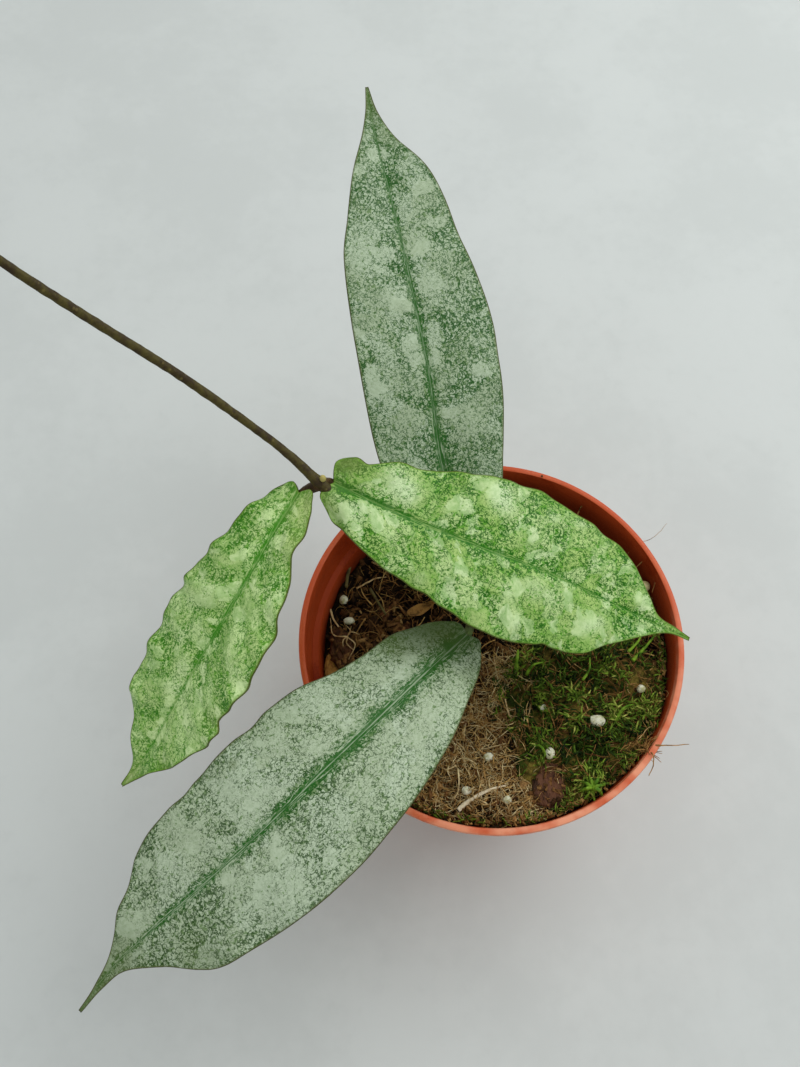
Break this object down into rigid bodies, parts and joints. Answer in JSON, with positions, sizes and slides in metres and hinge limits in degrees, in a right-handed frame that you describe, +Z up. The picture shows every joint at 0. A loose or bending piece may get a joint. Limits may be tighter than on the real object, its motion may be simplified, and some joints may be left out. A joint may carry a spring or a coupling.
{
  "type": "potted hoya mitrata",
  "caption": "Young wax vine with silver-flecked leaves in opposite pairs and a long bare shoot, rooted in a round terracotta-coloured plastic nursery pot.",
  "frame": {"origin": "centre of the pot's flat base, on the surface it stands on", "axes": "+Z up out of the pot, -Y towards the front of the plant as pictured, +X to its right"},
  "size_m": [0.2025, 0.2691, 0.294],
  "materials": {
    "pot": "satin terracotta-coloured polypropylene",
    "soil": "moist fibrous peat mix",
    "moss": "short green moss",
    "stem": "dark olive-brown bark",
    "mature_leaf": "grey-green leaf flecked with silver",
    "young_leaf": "yellow-green puckered leaf flecked with pale green",
    "perlite": "matte white expanded mineral",
    "feed_bead": "pale yellow coated plant-food bead",
    "bark": "dark weathered bark",
    "wood_chip": "pale split wood",
    "dry_twig": "bleached dry twig",
    "leaf_litter": "dead brown leaf scrap"
  },
  "bodies": {
    "root": {"pot": "pot", "soil": "soil", "moss": "moss", "stem": "stem", "leaf_back": "mature_leaf", "leaf_front": "mature_leaf", "leaf_right": "young_leaf", "leaf_left": "young_leaf", "perlite_1": "perlite", "perlite_2": "perlite", "perlite_3": "perlite", "perlite_4": "perlite", "perlite_5": "perlite", "perlite_6": "perlite", "perlite_7": "perlite", "perlite_8": "perlite", "perlite_9": "perlite", "feed_bead": "feed_bead", "bark_chip_left": "bark", "bark_chip_front": "bark", "wood_chip": "wood_chip", "dry_twig": "dry_twig", "leaf_litter": "leaf_litter"}
  },
  "joints": []
}
